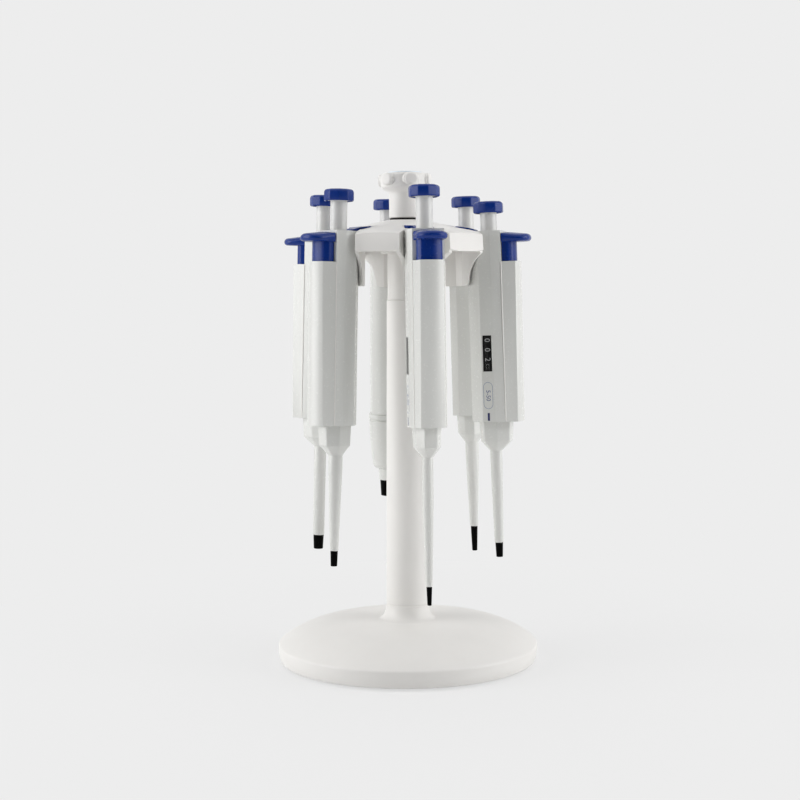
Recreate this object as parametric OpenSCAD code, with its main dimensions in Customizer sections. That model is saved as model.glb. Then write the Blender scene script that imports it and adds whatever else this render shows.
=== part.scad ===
// Carousel stand with six single-channel pipettes.
// Lengths are in millimetres, +Z is up and the origin is the middle of the footprint.
// A pipette is drawn in its own frame: X points away from the column, Y is to its side,
// Z runs up its plunger axis, and Z = 0 is the underside of its handle.

/* [Base] */
// Diameter of the base at its rim
base_d = 156; // [146:1:166]
// Amount by which the base is narrower at its bottom edge
base_undercut = 7.2; // [4:0.2:10]
// Height of the rim above the bottom edge
rim_h = 10.9; // [9:0.1:13]
// Height of the crown above the rim
crown_h = 15.6; // [13:0.1:18]
// Roundness of the crown: a higher value has a flatter top and a tighter shoulder
crown_power = 2.5; // [2:0.1:3.5]
// Height that the rubber feet stand out below the base
foot_h = 1.2; // [0.8:0.1:2]
// Number of feet, and of screws in the base plate
foot_count = 5; // [3:1:6]

/* [Column] */
// Diameter of the column at its foot
column_d = 25.6; // [24:0.2:28]
// Diameter of the column at its top
column_top_d = 22.3; // [21.6:0.1:24]
// Height of the joint between column and neck above the bottom edge
column_top_h = 215.8; // [205:0.2:225]
// Diameter of the neck under the carousel head
neck_d = 21.4; // [20.4:0.2:22]

/* [Carousel head] */
// Height of the head's underside above the bottom edge
head_h = 243.4; // [240:0.2:247]
// Distance between opposite flats of the head at its lower edge
head_flats = 105; // [100:0.5:108]
// Draft of the flats over the height of the head, on the distance
head_draft = 3; // [0:0.5:4]
// Half width of a pipette slot where it opens outward
slot_mouth = 14.9; // [14:0.1:15.5]
// Half width of a pipette slot at its inner end
slot_root = 4.6; // [4.4:0.1:5]
// Wall thickness of the hanging cradles
cradle_wall = 2; // [1.6:0.1:2.4]
// Depth that the cradles hang below the head
cradle_drop = 19; // [14:0.5:24]

/* [Knob] */
// Radius of the knob over its lobes
knob_r = 16; // [15:0.1:19]
// Diameter of a lobe
lobe_d = 7.4; // [7:0.1:9]
// Number of lobes
lobe_count = 6; // [5:1:8]
// Angle by which the knob is turned on its rod, in degrees
knob_turn = 33.3; // [0:0.1:60]

/* [Pipettes] */
// Distance of a plunger axis from the column's axis at the foot of the handle
hang_r = 54.9; // [54:0.1:56]
// Angle by which a pipette's tip hangs outward, in degrees
lean = 1.78; // [1:0.02:2.5]
// Height of the handles' underside above the bottom edge
handle_h = 144.4; // [138:0.2:148]
// Length of a handle
handle_l = 109.6; // [107:0.2:111]
// Diameter of a plunger rod
rod_d = 9.74; // [9:0.02:10]
// Diameter of a push button over its corners
button_d = 18.2; // [16:0.1:19]
// Number of faces round a push button
button_faces = 10; // [8:1:12]
// Travel of an ejector
ejector_travel = 8; // [5:0.5:10]

/* [Hidden] */
$fn = 64;
PIPETTES = [1:6];
PIPETTE_PARTS = ["handle", "display", "finger_hook", "tip_cone",
                 "plunger_rod", "push_button", "ejector_button", "ejector_sleeve"];

cream = [0.93, 0.92, 0.89];
cool_white = [0.88, 0.89, 0.87];
deep_blue = [0.12, 0.22, 0.60];
near_black = [0.05, 0.05, 0.06];
steel = [0.62, 0.63, 0.65];

fit = 0.05;      // radial clearance of a running fit
gap = 0.3;       // clearance between parts that pass each other
cover_wall = 2.4;

base_z = foot_h;
rim_r = base_d / 2;
bottom_r = rim_r - base_undercut / 2;
rim_z = base_z + rim_h;
flare_r = 18.4;
flare_h = 7.8;
flare_z = rim_z + crown_h * sqrt(1 - pow(flare_r / rim_r, crown_power));
column_z = flare_z + flare_h;
column_r = column_d / 2;

plate_t = 2.2;
plate_r = bottom_r - cover_wall - gap;
weight_z = base_z + plate_t;
weight_t = 8.4;
weight_r = 52;
collar_z = weight_z + weight_t;
collar_r = 14.2;
spigot_r = 10.4;
screw_r = 1.45;
screw_l = 11;
screw_ring = 60;
boss_r = 3.8;
foot_r = 6.5;
foot_ring = 60;
foot_peg_r = 2;

rod_r = 3.9;
rod_hole_r = 4.2;
hex_head = 6.5;
column_top_z = base_z + column_top_h;
column_bore_r = 8.2;
neck_spigot_l = 14;
journal_r = 8;
washer_t = 0.8;
washer_r = 10.4;
head_z = base_z + head_h;
neck_top_z = head_z - washer_t - fit;
hub_h = 19.6;
hub_z = head_z + hub_h;
journal_top_z = hub_z + 0.15;
ring_t = 1.15;
ring_r = 8.9;

knob_z = journal_top_z + ring_t;
knob_neck_r = 9.3;
knob_h = 26.3;
disc_r = 10.4;
disc_proud = 1.2;

handle_z = base_z + handle_h;
shelf_z = 93.1;          // floor of the recess that the ejector stands in
flange_z = 104.3;
flange_h = 6.2;          // at its back; its nose is thinner
flange_w = 18.4;
skirt_z = 85.6;          // lower edge of the ejector's skirt
pocket_z = skirt_z - ejector_travel - 1.6;
push_rod_x = 8.4;        // the ejector's push rod, beside the plunger
push_rod_r = 1.4;
sleeve_collar_h = 10;
rod_foot_z = 86;
rod_bore_z = 66;
stem_r = 3;              // stem of the tip cone in its seat
stem_z = 24;
hook_w = 16.4;
hook_seat_z = 104.5;
hook_neck_w = 8;

// Half of the handle's cross-section, from its narrow inner end outward; its round outer
// face is a cylinder that comes nearer to the plunger axis at the foot
HANDLE_HALF = [[-12.9, 2.9], [-9.2, 7], [-4.4, 10.7], [2.9, 10.7], [8.3, 9.4], [20, 5.6]];
face_r = 13.2;
face_x = 4.27;
face_tilt = 0.68;
// Half of the shoulder block under a handle
BLOCK_HALF = [[-8.7, 3], [-5, 7.8], [3, 7.6], [10.2, 3.9]];
// Half of the ejector's skirt
SKIRT_HALF = concat([[7.9, 7.4], [12.4, 7.4]], arc([5, 0], 11.2, 30, 5, 4));
// Half of a head slot
SLOT_HALF = [[-13.6, slot_root], [0.4, slot_mouth], [30, slot_mouth]];

// Pipettes in order of azimuth: shaft radius under the shoulder, height where its taper
// starts, radius and height of its end, radii of the black cone at its two ends, height
// of the cone's end, and how far the push button stands lower than on the first one.
SHAFT = [
  [3.2, -41.5, 1.95, -90.7, 1.5, 1.0, -102, 0],
  [3.6, -25, 2.65, -71.9, 2.3, 1.95, -80.6, 7.5],
  [4.2, -25, 2.6, -70.5, 2.15, 1.6, -86.2, 1],
  [12, -6, 5.9, -42.8, 4.9, 4.3, -53, 1.4],
  [3.7, -25, 3.5, -72, 3.2, 2.85, -80.7, 1],
  [4.15, -25, 2.45, -72.8, 2.15, 1.9, -81.8, 1]
];
LARGE = 4;       // the pipette with the wide chamber
button_z = 129.2;
button_h = 6.4;
button_bore = 4;         // depth of the rod's seat in the button
// The window recess in a handle's side: [inner edge, outer edge], [lower, upper]
display_x = [-3.6, 2];
display_z = [29.6, 50.6];
display_deep = 2.6;
ring_pitch = 5.6;        // height of one number ring of the counter
counter_r = 3.6;
side_y = 10.7;

function mirrored(half) = concat(half, [for (i = [len(half) - 1:-1:0]) [half[i][0], -half[i][1]]]);
function unit(v) = v / norm(v);
function normal_of(a, b) = let (d = unit(b - a)) [d[1], -d[0]];
// Moves each side of an outline outward by d. The outline's points run clockwise.
function grown(pts, d) = let (n = len(pts)) [
  for (i = [0:n - 1])
    let (m = -normal_of(pts[(i + n - 1) % n], pts[i]), q = -normal_of(pts[i], pts[(i + 1) % n]))
    pts[i] + (m + q) * d / (1 + m * q)
];
function arc(c, r, a0, a1, n) = [
  for (i = [0:n]) let (a = a0 + (a1 - a0) * i / n) [c[0] + r * cos(a), c[1] + r * sin(a)]
];
// A crown of height h over radius r, from the rim at 90 degrees towards the middle
function crown(r, z, h, a0, a1, n) = [
  for (i = [0:n])
    let (a = a0 + (a1 - a0) * i / n, x = r * sin(a))
    [x, z + h * sqrt(max(0, 1 - pow(x / r, crown_power)))]
];

// Puts a pipette's own frame on the carousel
module on_carousel(k)
  rotate([0, 0, 60 * (k - 1) - 90])
    translate([hang_r, 0, handle_z])
      rotate([0, -lean, 0]) children();

// Extrudes an outline drawn in the pipette's X and Z across its width
module across(w)
  translate([0, w / 2, 0]) rotate([90, 0, 0]) linear_extrude(w) children();

module ring_of(count, r, turn = 0)
  for (i = [0:count - 1]) rotate([0, 0, turn + i * 360 / count]) translate([r, 0, 0]) children();

// ---- Base -------------------------------------------------------------------------

module base_cover() color(cream) {
  inner_r = rim_r - cover_wall;
  outer = concat(
    [[bottom_r, base_z]],
    crown(rim_r, rim_z, crown_h, 90, asin(flare_r / rim_r), 16),
    [for (i = [1:7]) let (a = 90 * i / 7)
      [flare_r - (flare_r - column_r) * sin(a), flare_z + flare_h * (1 - cos(a))]]
  );
  inner = concat(
    [[spigot_r + fit, column_z], [spigot_r + fit, collar_z], [collar_r, collar_z]],
    crown(inner_r, rim_z, crown_h - cover_wall, asin(collar_r / inner_r), 90, 14),
    [[bottom_r - cover_wall, base_z]]
  );
  difference() {
    union() {
      rotate_extrude($fn = 128) polygon(concat(outer, inner));
      ring_of(foot_count, screw_ring)
        translate([0, 0, base_z + plate_t]) cylinder(r = boss_r, h = rim_z + 8 - base_z - plate_t);
    }
    ring_of(foot_count, screw_ring)
      translate([0, 0, base_z]) cylinder(r = screw_r + fit, h = screw_l + 1);
  }
}

module base_plate() color(steel) {
  difference() {
    translate([0, 0, base_z]) cylinder(r = plate_r, h = plate_t, $fn = 128);
    translate([0, 0, base_z - 1]) cylinder(r = 10, h = plate_t + 2);
    ring_of(foot_count, screw_ring) {
      translate([0, 0, base_z - 1]) cylinder(r = screw_r + fit, h = plate_t + 2);
      translate([0, 0, base_z]) cylinder(r1 = 2.9, r2 = screw_r + fit, h = 1.5);
    }
    ring_of(foot_count, foot_ring, 180 / foot_count)
      translate([0, 0, base_z - 1]) cylinder(r = foot_peg_r, h = plate_t + 2);
  }
}

module base_weight() color([0.25, 0.26, 0.28]) {
  difference() {
    rotate_extrude($fn = 96) polygon([
      [rod_hole_r, weight_z], [weight_r, weight_z], [weight_r, weight_z + weight_t - 2],
      [weight_r - 2, weight_z + weight_t], [rod_hole_r, weight_z + weight_t]
    ]);
    translate([0, 0, weight_z - 1]) cylinder(r = 9, h = 5.6);
  }
}

module rubber_feet() color([0.16, 0.16, 0.17]) {
  ring_of(foot_count, foot_ring, 180 / foot_count) {
    rotate_extrude() polygon([
      [0, 0], [foot_r - 0.8, 0], [foot_r, foot_h * 0.6], [foot_r, foot_h],
      [foot_peg_r, foot_h], [foot_peg_r, foot_h + plate_t], [0, foot_h + plate_t]
    ]);
  }
}

module base_screws() color(steel) {
  ring_of(foot_count, screw_ring)
    translate([0, 0, base_z]) difference() {
      rotate_extrude($fn = 32) polygon([
        [0, 0], [2.9, 0], [screw_r, 1.5], [screw_r, screw_l - 1.4], [0, screw_l]
      ]);
      for (a = [0, 90]) rotate([0, 0, a]) translate([-1.6, -0.35, -0.5]) cube([3.2, 0.7, 1.3]);
    }
}

// ---- Column -----------------------------------------------------------------------

module column_tube() color(cream) {
  difference() {
    rotate_extrude($fn = 96) polygon([
      [rod_hole_r, collar_z], [spigot_r, collar_z], [spigot_r, column_z], [column_r - 0.35, column_z],
      [column_r - 0.35, column_z + 0.7], [column_r, column_z + 1.1],
      [column_top_d / 2, column_top_z - 0.4], [column_top_d / 2 - 0.4, column_top_z],
      [rod_hole_r, column_top_z]
    ]);
    translate([0, 0, column_z]) cylinder(r = column_bore_r, h = column_top_h);
  }
}

module neck_spindle() color(cream) {
  spigot_z = column_top_z - neck_spigot_l;
  rotate_extrude($fn = 96) polygon([
    [rod_hole_r, spigot_z], [column_bore_r - fit, spigot_z], [column_bore_r - fit, column_top_z],
    [neck_d / 2, column_top_z], [neck_d / 2, column_top_z + 3], [neck_d / 2 - 0.25, neck_top_z],
    [journal_r, neck_top_z], [journal_r, journal_top_z], [rod_hole_r, journal_top_z]
  ]);
}

module tie_rod() color(steel) {
  head_under_z = weight_z + 4.6;
  translate([0, 0, head_under_z - 4.4]) cylinder(r = hex_head / cos(30), h = 4.4, $fn = 6);
  translate([0, 0, head_under_z - 1]) cylinder(r = rod_r, h = knob_z + 18.6 - head_under_z);
}

module washer(r_in, r_out, z, t)
  translate([0, 0, z]) difference() {
    cylinder(r = r_out, h = t, $fn = 96);
    translate([0, 0, -1]) cylinder(r = r_in, h = t + 2, $fn = 96);
  }

module bearing_washers() {
  color(near_black) washer(rod_hole_r, ring_r, journal_top_z, ring_t);
  color(cool_white) washer(journal_r + fit, washer_r, neck_top_z, washer_t);
}

// ---- Carousel head ----------------------------------------------------------------

// The head's six flats as three crossed wedges, so that each flat has its draft
module six_flats(d, z0, z1)
  intersection_for (i = [0:2])
    rotate([0, 0, 60 * i]) across(140)
      polygon([[-d / 2, z0], [d / 2, z0],
               [(d - head_draft) / 2, z1], [(head_draft - d) / 2, z1]]);

module head_shell() {
  wall = 2.8;
  difference() {
    intersection() {
      rotate_extrude($fn = 128) polygon([
        [0, head_z], [52.6, head_z], [54.6, head_z + 1.6], [54.6, head_z + 7.4],
        [53.2, head_z + 9.8], [49.8, head_z + 11.4], [13, hub_z - 0.5], [11.4, hub_z], [0, hub_z]
      ]);
      six_flats(head_flats, head_z - 1, head_z + 20.4);
    }
    intersection() {
      rotate_extrude($fn = 96) polygon([
        [collar_r, head_z - 1], [60, head_z - 1], [60, head_z + 7], [49, head_z + 8.2],
        [collar_r, head_z + 15.4]
      ]);
      six_flats(head_flats - 2 * wall, head_z - 2, head_z + 20);
    }
  }
  ring_of(6, 12) translate([0, -0.9, head_z + 1.4]) cube([38, 1.8, 8]);
}

// The trough under a slot that a handle's back leans into. Its side walls sweep back
// towards the inner end as they go down.
module cradle_walls() {
  z0 = head_h - handle_h - cradle_drop;
  z1 = head_h - handle_h + 8.4;
  intersection() {
    translate([0, 0, z0]) linear_extrude(z1 - z0)
      polygon(grown(mirrored(SLOT_HALF), cradle_wall));
    across(60) polygon(concat(
      [[-30, z1], [-30, z0], [-13.2, z0]],
      arc([-13.2, z0 + 2.6], 2.6, -90, 0, 4),
      arc([8.2, z0 + 2], 18.6, 176, 114, 10),
      [[0.8, z1 - 8], [4, z1 - 8], [4, z1]]
    ));
  }
}

module slot_cut()
  translate([0, 0, 70]) linear_extrude(60) polygon(mirrored(SLOT_HALF));

// Seat in the head's top for the finger hook
module hook_seat()
  across(hook_w + 1.2)
    polygon([[-20, 112.7], [-15.5, 111.45], [-10, 111.45], [-10, 125], [-20, 125]]);

module carousel_head() color(cream) {
  difference() {
    union() {
      head_shell();
      intersection() {
        for (k = PIPETTES) on_carousel(k) cradle_walls();
        six_flats(head_flats, head_z - cradle_drop - 4, head_z + 14);
      }
    }
    for (k = PIPETTES) on_carousel(k) {
      slot_cut();
      hook_seat();
    }
    translate([0, 0, head_z - 1]) cylinder(r = journal_r + fit, h = hub_h + 2, $fn = 96);
  }
}

// ---- Knob -------------------------------------------------------------------------

module star_knob() color(cream) {
  lobe_z = knob_z + knob_h - lobe_d / 2 - 0.2;
  flare_start = knob_z + 13;
  crown_r = 13.5;
  difference() {
    union() {
      rotate_extrude($fn = 96) polygon(concat(
        [[0, knob_z], [knob_neck_r - 0.4, knob_z], [knob_neck_r, knob_z + 0.4],
         [knob_neck_r, flare_start]],
        [for (i = [1:6]) let (a = 15 * i)
          [knob_neck_r + (crown_r - knob_neck_r) * (1 - cos(a)), flare_start + 6.8 * sin(a)]],
        arc([crown_r - 1.8, knob_z + knob_h - 1.8], 1.8, 10, 90, 4),
        [[0, knob_z + knob_h]]
      ));
      ring_of(lobe_count, 0, knob_turn)
        translate([0, 0, lobe_z]) rotate([0, 90, 0]) rotate_extrude($fn = 40) polygon([
          [0, 8], [lobe_d / 2, 8], [lobe_d / 2, knob_r - 0.7], [lobe_d / 2 - 0.7, knob_r], [0, knob_r]
        ]);
    }
    translate([0, 0, knob_z - 1]) cylinder(r = rod_r + fit, h = 20);
    translate([0, 0, knob_z + knob_h - 1]) cylinder(r = disc_r + fit, h = 2);
  }
}

module knob_disc() color([0.62, 0.76, 0.90]) {
  translate([0, 0, knob_z + knob_h - 1]) rotate_extrude($fn = 96) polygon([
    [0, 0], [disc_r, 0], [disc_r, 0.8 + disc_proud * 0.5], [disc_r - 0.8, 1 + disc_proud * 0.85],
    [0, 1 + disc_proud]
  ]);
}

// ---- Pipettes ---------------------------------------------------------------------

module handle_form() {
  edge = 1;
  reach = 20;
  intersection() {
    linear_extrude(handle_l) polygon(mirrored(HANDLE_HALF));
    across(2 * reach) polygon(concat(
      [[-12.5, 0], [-12.9, 0.4]],
      arc([-12.9 + edge, handle_l - edge], edge, 180, 90, 3),
      [[reach, handle_l], [reach, 0]]
    ));
    union() {
      translate([face_x, 0, 0]) rotate([0, face_tilt, 0])
        translate([0, 0, -5]) cylinder(r = face_r, h = handle_l + 10);
      translate([-reach, -reach, -5]) cube([reach + 12, 2 * reach, handle_l + 10]);
    }
  }
}

module handle(k) color(cool_white) on_carousel(k) {
  difference() {
    handle_form();
    // Bore of the plunger rod
    translate([0, 0, rod_bore_z]) cylinder(r = rod_d / 2 + fit, h = handle_l);
    // Recess that the ejector stands in, and the pocket that its skirt runs down into
    translate([7.5, -20, shelf_z]) cube([20, 40, 30]);
    translate([0, 0, pocket_z]) linear_extrude(30) polygon(grown(mirrored(SKIRT_HALF), 0.25));
    translate([push_rod_x, 0, sleeve_collar_h / 2]) cylinder(r = push_rod_r + gap, h = shelf_z);
    // Cavity that the ejector's sleeve slides in, and the seat of the tip cone's stem
    translate([0, 0, -1]) linear_extrude(sleeve_collar_h + 2.2)
      polygon(grown(mirrored(BLOCK_HALF), -0.25));
    cylinder(r = stem_r, h = stem_z);
    // Seat of the finger hook
    translate([-30, -hook_neck_w / 2, hook_seat_z]) cube([22, hook_neck_w, 10]);
    // Display window
    translate([display_x[0], -side_y - 1, display_z[0]])
      cube([display_x[1] - display_x[0], 1 + display_deep, display_z[1] - display_z[0]]);
  }
}

// Number rings of the volume counter in front of their back plate
module display(k) color(near_black) on_carousel(k) {
  width = display_x[1] - display_x[0];
  height = display_z[1] - display_z[0];
  back = -side_y + display_deep;
  groove = 0.15;
  translate([display_x[0], back - 0.5, display_z[0]]) cube([width, 0.5, height]);
  intersection() {
    translate([display_x[0], -side_y, display_z[0]]) cube([width, display_deep, height]);
    translate([display_x[0] + width / 2, -side_y + 0.6 + counter_r, display_z[0]])
      rotate_extrude() polygon(concat(
        [[0, 0], [counter_r, 0]],
        [for (z = [height % ring_pitch : ring_pitch : height - 1]) each [
          [counter_r, z - groove], [counter_r - groove, z - groove],
          [counter_r - groove, z + groove], [counter_r, z + groove]]],
        [[counter_r, height], [0, height]]
      ));
  }
}

module finger_hook(k) color(deep_blue) on_carousel(k) {
  neck = hook_neck_w / 2;
  corner = 3;
  side = hook_w / 2 - corner;
  intersection() {
    across(hook_w) polygon([
      [-8, hook_seat_z], [-8, handle_l], [-6.6, handle_l], [-6.9, 111.4], [-8.2, 112.6],
      [-12.6, 113.9], [-17.2, 114.7], [-18.6, 114.5], [-19.2, 113.6], [-18.9, 112.7],
      [-18.2, 112.3], [-15.5, 111.55], [-12.9, 111.55], [-12.9, hook_seat_z]
    ]);
    translate([0, 0, hook_seat_z - 4]) linear_extrude(20) polygon(concat(
      [[-6, neck - 0.6], [-6, 0.6 - neck], [-8, -neck], [-12.9, -neck]],
      arc([-16, -side], corner, 0, -90, 4),
      arc([-16.2, -side], corner, -90, -180, 4),
      arc([-16.2, side], corner, 180, 90, 4),
      arc([-16, side], corner, 90, 0, 4),
      [[-12.9, neck], [-8, neck]]
    ));
  }
}

module plunger_rod(k) color(cool_white) on_carousel(k) {
  top = button_z - SHAFT[k - 1][7] + button_bore;
  rotate_extrude() polygon([
    [0, rod_foot_z], [rod_d / 2 - 0.6, rod_foot_z], [rod_d / 2, rod_foot_z + 0.6],
    [rod_d / 2, top], [0, top]
  ]);
}

module push_button(k) color(deep_blue) on_carousel(k)
  translate([0, 0, button_z - SHAFT[k - 1][7]]) difference() {
    intersection() {
      rotate([0, 0, 18]) cylinder(d = button_d, h = button_h, $fn = button_faces);
      rotate_extrude() polygon(concat(
        [[0, 0.9], [button_d / 2 - 1.6, 0], [button_d / 2 + 0.2, 0.3]],
        arc([button_d / 2 - 1.9, button_h - 2.1], 2.1, 0, 90, 6),
        [[0, button_h]]
      ));
    }
    translate([0, 0, -1]) cylinder(r = rod_d / 2 + fit, h = button_bore + 1);
  }

module ejector_button(k) color(deep_blue) on_carousel(k) {
  back_x = 7.9;
  tip_x = 23.8;
  nose = 2;
  nose_top = flange_z + 4.2;
  corner = 6;
  side = flange_w / 2;
  // Thumb flange: flat below, with round corners, falling to its nose and to its sides
  intersection() {
    translate([0, 0, flange_z - 1]) linear_extrude(flange_h + 2) polygon(concat(
      [[back_x, 1 - side], [back_x + 1, -side]],
      arc([tip_x - corner, corner - side], corner, -90, -15, 5),
      arc([tip_x - corner, side - corner], corner, 15, 90, 5),
      [[back_x + 1, side], [back_x, side - 1]]
    ));
    across(flange_w + 2) polygon(concat(
      [[back_x, flange_z]],
      arc([tip_x - nose, flange_z + nose], nose, -90, 0, 4),
      arc([tip_x - nose, nose_top - nose], nose, 0, 80, 4),
      [[back_x + 1.4, flange_z + flange_h], [back_x, flange_z + flange_h - 1]]
    ));
    translate([0, 0, flange_z + flange_h - 28]) rotate([0, 90, 0]) cylinder(r = 28, h = 40, $fn = 128);
  }
  // Skirt that covers the recess, and the rod that pushes the sleeve
  translate([0, 0, skirt_z]) linear_extrude(flange_z + 0.6 - skirt_z) polygon(mirrored(SKIRT_HALF));
  translate([push_rod_x, 0, sleeve_collar_h]) cylinder(r = push_rod_r, h = skirt_z + 0.4 - sleeve_collar_h);
}

module slim_sleeve(s) {
  translate([0, 0, -0.4]) linear_extrude(sleeve_collar_h + 0.4)
    polygon(grown(mirrored(BLOCK_HALF), -0.6));
  translate([0, 0, -0.4]) mirror([0, 0, 1])
    linear_extrude(11.4, scale = [0.93, 0.94], slices = 1) polygon(mirrored(BLOCK_HALF));
  hull() {
    translate([0, 0, -11.9]) linear_extrude(0.2) scale([0.93, 0.94]) polygon(mirrored(BLOCK_HALF));
    translate([0, 0, -17.4]) cylinder(r = s[0], h = 0.2, $fn = 32);
  }
  translate([0, 0, s[1]]) cylinder(r = s[0], h = -17.2 - s[1]);
  translate([0, 0, s[3]]) cylinder(r1 = s[2], r2 = s[0], h = s[1] - s[3]);
}

// The wide one has a collar ring, a dark groove and a chamber with a round shoulder
module wide_sleeve(s) {
  translate([0, 0, -0.4]) linear_extrude(sleeve_collar_h + 0.4)
    polygon(grown(mirrored(BLOCK_HALF), -0.6));
  rotate_extrude($fn = 96) polygon(concat(
    [[0, -0.4], [11.4, -0.4], [12.2, -1.2], [12.2, -3.6], [11.2, -3.8], [11.2, -4.6], [12, -4.8]],
    [[10.5, -26], [9.6, -31]],
    arc([5.6, -31.6], 4, 0, -90, 6),
    [[s[2], -36.6], [s[2] - 0.5, s[3]], [0, s[3]]]
  ));
}

module ejector_sleeve(k) color(cool_white) on_carousel(k) {
  s = SHAFT[k - 1];
  difference() {
    if (k == LARGE) wide_sleeve(s); else slim_sleeve(s);
    translate([0, 0, s[3] - 1]) cylinder(r = s[4] + 0.12, h = 20 - s[3]);
    translate([0, 0, -14]) cylinder(r = stem_r + gap, h = 40);
  }
}

module tip_cone(k) color(near_black) on_carousel(k) {
  s = SHAFT[k - 1];
  neck = min(s[4], stem_r);
  rotate_extrude($fn = 48) polygon([
    [0, stem_z], [stem_r, stem_z], [stem_r, -12], [neck, -14], [s[4], -24], [s[4], s[3]],
    [s[5], s[6] + 0.6], [s[5] - 0.4, s[6]], [0.6, s[6]], [0.6, s[6] + 6], [0, s[6] + 6]
  ]);
}

base_cover();
base_plate();
base_weight();
rubber_feet();
base_screws();
column_tube();
neck_spindle();
tie_rod();
bearing_washers();
carousel_head();
star_knob();
knob_disc();
for (k = PIPETTES) {
  handle(k);
  display(k);
  finger_hook(k);
  tip_cone(k);
  plunger_rod(k);
  push_button(k);
  ejector_button(k);
  ejector_sleeve(k);
}
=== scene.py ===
"""Carousel stand with six pipettes: finished surfaces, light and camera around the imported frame.

Lengths are in millimetres until a mesh is made; floor, lamps and camera are in metres. The stand
is drawn about its column, with z = 0 on the floor. A pipette's pieces are drawn in its own frame:
x points away from the column, y is to its side, z runs up its plunger axis and z = 0 is the
underside of its handle.
"""
import math
from collections import namedtuple

import bmesh
import bpy
import numpy as np
from mathutils import Matrix, Vector


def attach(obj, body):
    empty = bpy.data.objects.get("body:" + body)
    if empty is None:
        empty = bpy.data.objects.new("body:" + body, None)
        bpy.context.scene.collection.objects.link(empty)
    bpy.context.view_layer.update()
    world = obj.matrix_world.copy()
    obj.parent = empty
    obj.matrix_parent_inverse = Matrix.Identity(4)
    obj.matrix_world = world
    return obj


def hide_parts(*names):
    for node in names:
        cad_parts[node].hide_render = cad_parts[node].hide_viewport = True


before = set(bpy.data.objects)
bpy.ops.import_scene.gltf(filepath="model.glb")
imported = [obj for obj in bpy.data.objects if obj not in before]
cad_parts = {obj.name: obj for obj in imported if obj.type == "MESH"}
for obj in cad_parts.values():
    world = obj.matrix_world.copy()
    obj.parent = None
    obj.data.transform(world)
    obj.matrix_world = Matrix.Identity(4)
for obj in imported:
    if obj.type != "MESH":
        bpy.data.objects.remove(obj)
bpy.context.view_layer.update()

MM = 0.001
PIPETTES = range(1, 7)
LARGE = 4                   # the pipette with the wide chamber
MERGE = 2e-6                # points closer than this become one, in metres
FLAT = 0.6                  # a CAD copy's faces within this angle are joined, in degrees

# ---- Dimensions of the stand --------------------------------------------------------

TIE_BORE_R = 4.2            # hole for the tie rod through column and neck

RIM_R = 78.0                # outer radius of the base
RIM_Z = 11.2                # top of its upright rim
RIM_FOOT_Z = 5.5            # top of the rim's drawn-in foot
RIM_IN = 2.2                # from RIM_R in to where the rim's rounding ends
CROWN_IN = 2.8              # from RIM_R in to where the crown starts
BASE_Z = 1.2                # underside of the cover
PLATE_R = 72.0              # plate that closes the cover
CROWN_H = 14.0              # rise of the crown above the rim
CROWN_POWER = 4.4           # the higher, the later the crown falls towards the rim
COVER_WALL = 2.4
SOCKET_R, SOCKET_H = 14, 2  # socket for the column: where the inner wall ends, and its rise
FLARE_R = 17.5              # where the crown turns up to the column
FOOT_Z = 34.2               # top of the flare, foot of the column
LIP = 0.15                  # bevel of the flare's top edge

COLUMN_R = 12.8
COLUMN_TOP_R = 11.15
COLUMN_TOP_Z = 217.0
COLUMN_EDGE = 0.35          # bevel of its top and depth of the groove at its foot
GROOVE_H = 0.55
GROOVE_TOP = 0.9            # where the column's full radius starts above the groove
PLUG_R = 10.2               # plug of the column inside the cover
PLUG_H = 11

NECK_R = 10.7
NECK_TAPER = 0.2            # how much narrower it is at its top
NECK_PLUG_R = 8.15          # plug of the neck inside the column
NECK_PLUG_Z = 203
JOURNAL_R = 8               # what the head turns on
HEAD_Z = 244.6              # underside of the head
THRUST_Z = HEAD_Z - 0.85    # thrust ring between neck and head
THRUST_IN_R, THRUST_OUT_R = 8.05, 10.4
THRUST_T = 0.8
RING_Z = 264.35             # clamp ring between head and knob
RING_R = 8.9
RING_T = 1.15

KNOB_Z = RING_Z + RING_T
KNOB_H = 26.3
KNOB_R = 15.8               # out to the end faces of the lobes
KNOB_NECK_R = 9.3
KNOB_CROWN_R = 14.0         # its body between the lobes
KNOB_FLARE_Z = 14.2         # where the body starts to widen
KNOB_FLARE_H = 4.4
KNOB_EDGE = 1.8
KNOB_TURN = 33.3            # degrees from x to the first lobe
LOBES = 6
LOBE_HALF_W = 4.4
LOBE_HALF_H = 3.8
LOBE_POWER = 2.1            # 2 would be an ellipse
LOBE_EDGE = 1.9
LOBE_GAP = 0.05             # from the lobes up to the knob's top
LOBE_BLEND = 0.8            # width of the blend between a lobe's side and its end
BODY_BLEND = 3.0            # width of the blend between lobes and body
DISC_R = 10.4
DISC_SEAT = 1               # depth of the inlay's seat

# ---- Dimensions of a pipette --------------------------------------------------------

HANG_R = 54.9               # from the column's axis
HANDLE_Z = 145.6            # height of a handle's underside
LEAN = 1.78                 # degrees
SIDE_Y = 10.7               # flat side with the display
HANDLE_RISE = 1.4           # how far the handle's top stands above the CAD's
HANDLE_TOP_Z = 105          # points above this belong to its top
SHELF_X, SHELF_Z = 7.5, 93.1    # back wall and floor of the ejector's recess in the CAD
SHELF_MOVE = 1.3            # how far the back wall stands out from the CAD's
SHELF_NARROW = 0.037        # share by which the handle's slanted sides narrow it there
NEAR = 0.05                 # how near a point lies to a plane to belong to it
SEAM_R = 0.36               # beads along the seam of the handle's shells
SEAM_X, SEAM_Y = 8.8, 9.2
SEAM_END = 0.4              # from the ends of the lower shell

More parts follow.
